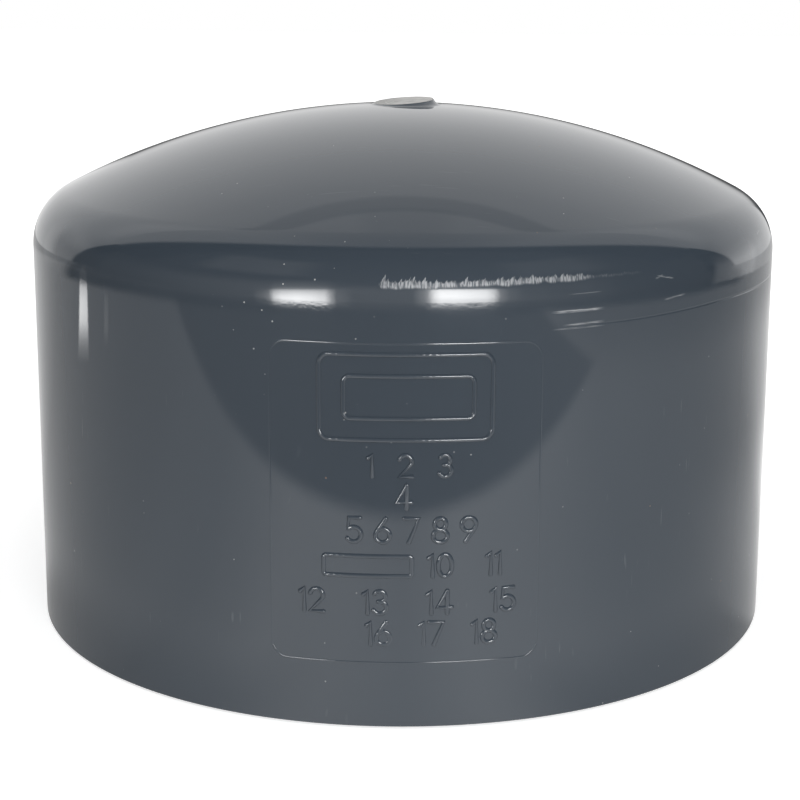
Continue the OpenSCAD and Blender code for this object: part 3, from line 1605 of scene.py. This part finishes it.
    def _veil(self, veil: Veil) -> None:
        """Hangs one veil; what is behind it shows through.

        Args:
            veil: The veil.
        """
        start, end = veil.across[0][0], veil.across[-1][0]
        low, high = veil.upward[0][0], veil.upward[-1][0]
        slack = abs(veil.lean) * (end - start)
        foot = max(low - slack, 0.0)
        corners = (Vector((start, 0.0, foot)), Vector((end, 0.0, foot)), Vector((start, 0.0, high + slack)))
        made = self._sheet(veil.name, corners, self.veil_columns)
        for vert in made.data.vertices:
            turn, height = math.radians(vert.co.x), vert.co.z
            vert.co = Vector((math.sin(turn) * veil.radius, -math.cos(turn) * veil.radius, height))
        material, w = new_material(veil.name)
        x, y, z = w.split(w.object_point())
        azimuth = self._azimuth(w, x, y)
        tilt = w.times(w.minus(azimuth, (start + end) / 2), -veil.lean)
        height = w.plus(z, w.times(tilt, w.ease(z, 0.03, 0.09)))
        level = w.times(w.ramp(azimuth, veil.across), w.ramp(height, veil.upward))
        clear = w.node("ShaderNodeBsdfTransparent").outputs[0]
        w.surface(w.node("ShaderNodeAddShader", {0: w.glow(level), 1: clear}).outputs[0])
        self._only_reflected(made, material)

    def _floor(self) -> None:
        """Lays the pale floor, white to the camera, with its own tone in reflections."""
        half, low = self.floor_half, self.floor_height
        corners = (Vector((-half, -half, low)), Vector((half, -half, low)), Vector((-half, half, low)))
        made = self._sheet("pale_floor", corners)
        material, w = new_material("pale_floor")
        x, y, _ = w.split(w.object_point())
        ray = w.node("ShaderNodeLightPath").outputs
        plain = w.node("ShaderNodeBsdfDiffuse", {"Color": rgba(self.floor_colour)}).outputs[0]
        away = w.node("ShaderNodeVectorMath", {0: w.object_point()}, operation="LENGTH").outputs["Value"]
        lift = w.glow(w.ease(away, 0.10, 0.50, 0.62, 1.0))
        lifted = w.node("ShaderNodeAddShader", {0: plain, 1: lift}).outputs[0]
        seen = w.either(ray["Is Camera Ray"], plain, lifted)
        w.surface(w.either(ray["Is Glossy Ray"], seen, w.glow(self._floor_level(w, x, y))))
        made.data.materials.append(material)

    def _floor_level(self, w: Wiring, x: Socket, y: Socket) -> Socket:
        """Works out how bright the gloss sees the floor.

        Args:
            w: The wiring of the floor's material.
            x: The point's X.
            y: The point's Y.

        Returns:
            The level's socket.
        """
        azimuth, away = self._azimuth(w, x, y), w.reach(x, y)
        turned = w.math("ABSOLUTE", azimuth)
        # The cap shades the floor at its foot, but not in front of it and not behind it.
        beside = w.times(
            w.ease(turned, 12.0, 30.0),
            w.ease(turned, 84.0, 108.0, 1.0, 0.0),
            w.ease(azimuth, 68.0, 76.0, 1.0, 0.3),
        )
        shade = w.times(w.ease(away, 0.086, 0.138, 0.46, 0.0), beside)
        # The light falls off further out, on the left later than on the right.
        leaning = w.plus(away, w.times(w.math("MINIMUM", x, 0.0), 0.5))
        fade = w.ease(leaning, 0.40, 0.55, 1.0, 0.75)
        # Close to the cap the right front is dimmer, and the right side is brighter.
        dimmer = w.times(w.ease(azimuth, 15.0, 45.0), w.ease(away, 0.12, 0.40, 0.17, 0.0))
        brighter = w.times(
            w.ease(azimuth, 62.0, 100.0, 0.0, 0.33),
            w.ease(azimuth, 130.0, 160.0, 1.0, 0.0),
            w.ease(away, 0.15, 0.27, 1.0, 0.0),
        )
        right = w.minus(1.0, w.minus(dimmer, brighter))
        lit = w.times(w.ramp(azimuth, self.lit), w.minus(1.0, shade), fade, right)
        # The unlit floor starts at a near edge that slants to the right and ends at the right panel.
        edge = w.minus(self.near_edge, w.times(w.math("MAXIMUM", x, 0.0), 0.10))
        inside = w.math("MAXIMUM", w.ease(w.minus(y, edge), -0.013, 0.013), w.ease(x, 0.340, 0.372))
        unlit = w.times(w.ramp(azimuth, self.unlit), w.minus(1.0, inside))
        level = w.plus(w.times(lit, inside), unlit)
        for glow in self.floor_glows:
            run, off = w.along(glow.start, glow.end, x, y)
            side = w.ease(off, glow.half * 0.8, glow.half * 1.25, 1.0, 0.0)
            level = w.plus(level, w.times(w.ramp(run, glow.levels), side))
        # Past its round end the floor goes nearly dark, except behind the cap.
        beyond = w.times(w.ease(away, 0.574, 0.602), w.ease(turned, 110.0, 119.0, 0.88, 0.0))
        return w.times(level, w.minus(1.0, beyond))

    def _backdrop(self) -> None:
        """Stands the pale backdrop behind the cap, for reflections only."""
        half, back = self.sheet_half, self.back
        corners = (Vector((-half, back, 0.0)), Vector((half, back, 0.0)), Vector((-half, back, self.ceiling)))
        made = self._sheet("pale_backdrop", corners)
        material, w = new_material("pale_backdrop")
        x, _, z = w.split(w.object_point())
        wide = w.math("ABSOLUTE", x)
        # The dark foot of the backdrop shows in the middle only.
        raised = w.math("MAXIMUM", z, w.ease(x, -0.36, -0.16, 0.30, 0.0), w.ease(x, 0.36, 0.50, 0.0, 0.30))
        level = w.ramp(raised, self.backdrop_levels)
        # A darker arch and a darker middle, between brighter sides.
        bowed = w.minus(z, w.times(x, x, 0.75))
        arch = w.times(w.window(x, -0.66, 0.54, 0.14), w.window(bowed, 1.40, 1.56, 0.06), -0.22)
        middle = w.times(w.ease(wide, 0.10, 0.22, 1.0, 0.0), w.ease(z, 1.5, 1.6), -0.10)
        sides = w.times(w.ease(wide, 0.45, 1.2), w.ease(z, 0.9, 1.6), 0.45)
        level = w.plus(level, arch, middle, sides)
        # Both ends slope down to nothing, and the low left is dimmer.
        left_low = w.times(w.ease(x, -1.3, -1.0, 1.0, 0.0), w.ease(z, 0.25, 0.7, 0.35, 0.0))
        within = w.ease(w.minus(z, w.times(w.minus(wide, 1.93), 1.2)), -0.14, 0.14)
        fade = w.ease(wide, 1.6, 3.0, 1.0, 0.75)
        w.surface(w.glow(w.times(level, fade, within, w.minus(1.0, left_low))))
        self._only_reflected(made, material)

    def _ceiling(self) -> None:
        """Hangs the pale ceiling behind the cap's middle, for reflections only."""
        half, top, front = self.sheet_half, self.ceiling, self.ceiling_front
        corners = (Vector((-half, front, top)), Vector((half, front, top)), Vector((-half, self.back, top)))
        made = self._sheet("pale_ceiling", corners)
        material, w = new_material("pale_ceiling")
        x, y, _ = w.split(w.object_point())
        # Its near edge is bowed, away from the cap at both ends.
        spread = w.math("SQRT", w.plus(w.times(x, x), 0.32))
        bowed = w.minus(y, w.minus(w.times(spread, 0.37), 0.21))
        level = w.times(w.ease(w.math("ABSOLUTE", x), 0.1, 0.9, 0.75, 1.1), w.ease(bowed, -0.42, -0.14))
        w.surface(w.glow(level))
        self._only_reflected(made, material)

    def _lamp(self, lamp: Lamp) -> None:
        """Hangs one soft lamp that aims at the cap and shows in no reflection.

        Args:
            lamp: The lamp.
        """
        light = bpy.data.lights.new(lamp.name, "AREA")
        light.shape = "DISK"
        light.size = lamp.size
        light.energy = lamp.watts
        made = bpy.data.objects.new(lamp.name, light)
        bpy.context.scene.collection.objects.link(made)
        made.location = lamp.place
        made.rotation_euler = (Vector(self.middle) - Vector(lamp.place)).to_track_quat("-Z", "Y").to_euler()
        made.visible_glossy = False

    def _world(self) -> None:
        """Sets the surroundings: white to the camera, soft for diffuse, dark in the gloss."""
        world = bpy.data.worlds.new("studio")
        bpy.context.scene.world = world
        world.use_nodes = True
        world.node_tree.nodes.clear()
        w = Wiring(world.node_tree)
        ray = w.node("ShaderNodeLightPath").outputs
        soft, dark, white = (
            w.node("ShaderNodeBackground", {"Color": rgba((1.0, 1.0, 1.0)), "Strength": level}).outputs[0]
            for level in (self.soft_world, self.dark_world, self.white_world)
        )
        unseen = w.either(ray["Is Glossy Ray"], soft, dark)
        w.node("ShaderNodeOutputWorld", {"Surface": w.either(ray["Is Camera Ray"], unseen, white)})


# -------------------------------------------------------------------------------- main


def dress(piece: bpy.types.Object, materials: Sequence[bpy.types.Material]) -> None:
    """Gives a piece its finishes and its body, and logs it.

    Args:
        piece: The finished piece.
        materials: Its materials in slot order.
    """
    for material in materials:
        piece.data.materials.append(material)
    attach(piece, BODY)
    LOG.info("%s: %d faces", piece.name, len(piece.data.polygons))


def main() -> None:
    """Builds the cap's looks and its studio."""
    logging.basicConfig(level=logging.INFO, format="%(message)s")
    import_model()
    bpy.context.scene.view_settings.view_transform = "Standard"
    low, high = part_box("cap_body")
    shell = CapShell(rim_radius=(high.x - low.x) / 2)
    kit = EffectKit(shell.chart_radius)
    skin = SkinFinish().material(kit)
    moulding = shell.build()
    dress(moulding, [skin, BoreFinish().material(kit), CutFinish().material(kit)])
    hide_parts("cap_body")
    for mark in WallMarks(shell).build():
        dress(mark, [skin])
    Studio().build()


if __name__ == "__main__":
    main()
